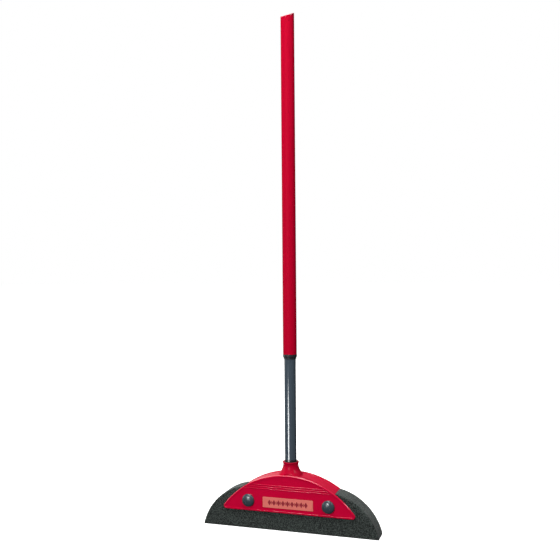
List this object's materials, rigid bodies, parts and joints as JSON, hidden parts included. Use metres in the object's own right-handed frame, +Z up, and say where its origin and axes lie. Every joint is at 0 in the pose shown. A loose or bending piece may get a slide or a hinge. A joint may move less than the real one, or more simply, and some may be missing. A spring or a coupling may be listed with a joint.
{
  "type": "carpet sweeper",
  "caption": "Carpet sweeper with a half-moon foam block clamped between plates, an arched neck and a twist-lock telescopic handle.",
  "frame": {"origin": "middle of the foam block's sole, on the floor", "axes": "+Z up along the handle, X along the head, -Y out of the front plate"},
  "size_m": [0.332, 0.0568, 0.9452],
  "materials": {
    "red_plastic": "gloss",
    "red_grained_plastic": "satin",
    "red_painted_steel": "gloss",
    "grey_painted_steel": "gloss",
    "grey_plastic": "gloss",
    "dark_plastic": "satin",
    "white_plastic": "satin",
    "pale_inlay": "satin",
    "foam": "matte",
    "rubber": "matte",
    "zinc": "satin"
  },
  "bodies": {
    "head": {"foam_block": "foam", "bridge": "red_grained_plastic", "front_plate": "red_plastic", "rear_plate": "red_plastic", "badge_front": "pale_inlay", "badge_rear": "pale_inlay", "front_stud_left": "grey_plastic", "front_stud_right": "grey_plastic", "rear_stud_left": "grey_plastic", "rear_stud_right": "grey_plastic"},
    "socket_washer": {"socket_washer": "rubber"},
    "lower_handle": {"thread_ferrule": "dark_plastic", "inner_tube": "grey_painted_steel", "lock_plug": "white_plastic", "lock_stud": "zinc", "lock_stop": "zinc"},
    "lock_sleeve": {"lock_sleeve": "white_plastic"},
    "lock_cone": {"lock_cone": "white_plastic"},
    "upper_handle": {"guide_collar": "dark_plastic", "outer_tube": "red_painted_steel", "end_cap": "red_plastic"}
  },
  "joints": [
    {"name": "handle_unscrew", "type": "hinge", "parent": "head", "child": "socket_washer", "pos_m": [0, 0, 0.1238], "axis": [0, 0, 1], "range_deg": [0, 1440]},
    {"name": "handle_rise", "type": "slide", "parent": "socket_washer", "child": "lower_handle", "axis": [0, 0, 1], "range_m": [0, 0.0201]},
    {"name": "lock_twist", "type": "hinge", "parent": "lower_handle", "child": "lock_sleeve", "pos_m": [0, 0, 0.69], "axis": [0, 0, 1], "range_deg": [0, 360]},
    {"name": "cone_travel", "type": "slide", "parent": "lock_sleeve", "child": "lock_cone", "axis": [0, 0, -1], "range_m": [0, 0.0021]},
    {"name": "telescope_slide", "type": "slide", "parent": "lock_sleeve", "child": "upper_handle", "axis": [0, 0, 1], "range_m": [-0.178, 0.315]}
  ],
  "couplings": [
    {"joint": "handle_rise", "follows": "handle_unscrew", "m_per_rad": 0.00079577},
    {"joint": "cone_travel", "follows": "lock_twist", "m_per_rad": 0.00031831}
  ]
}
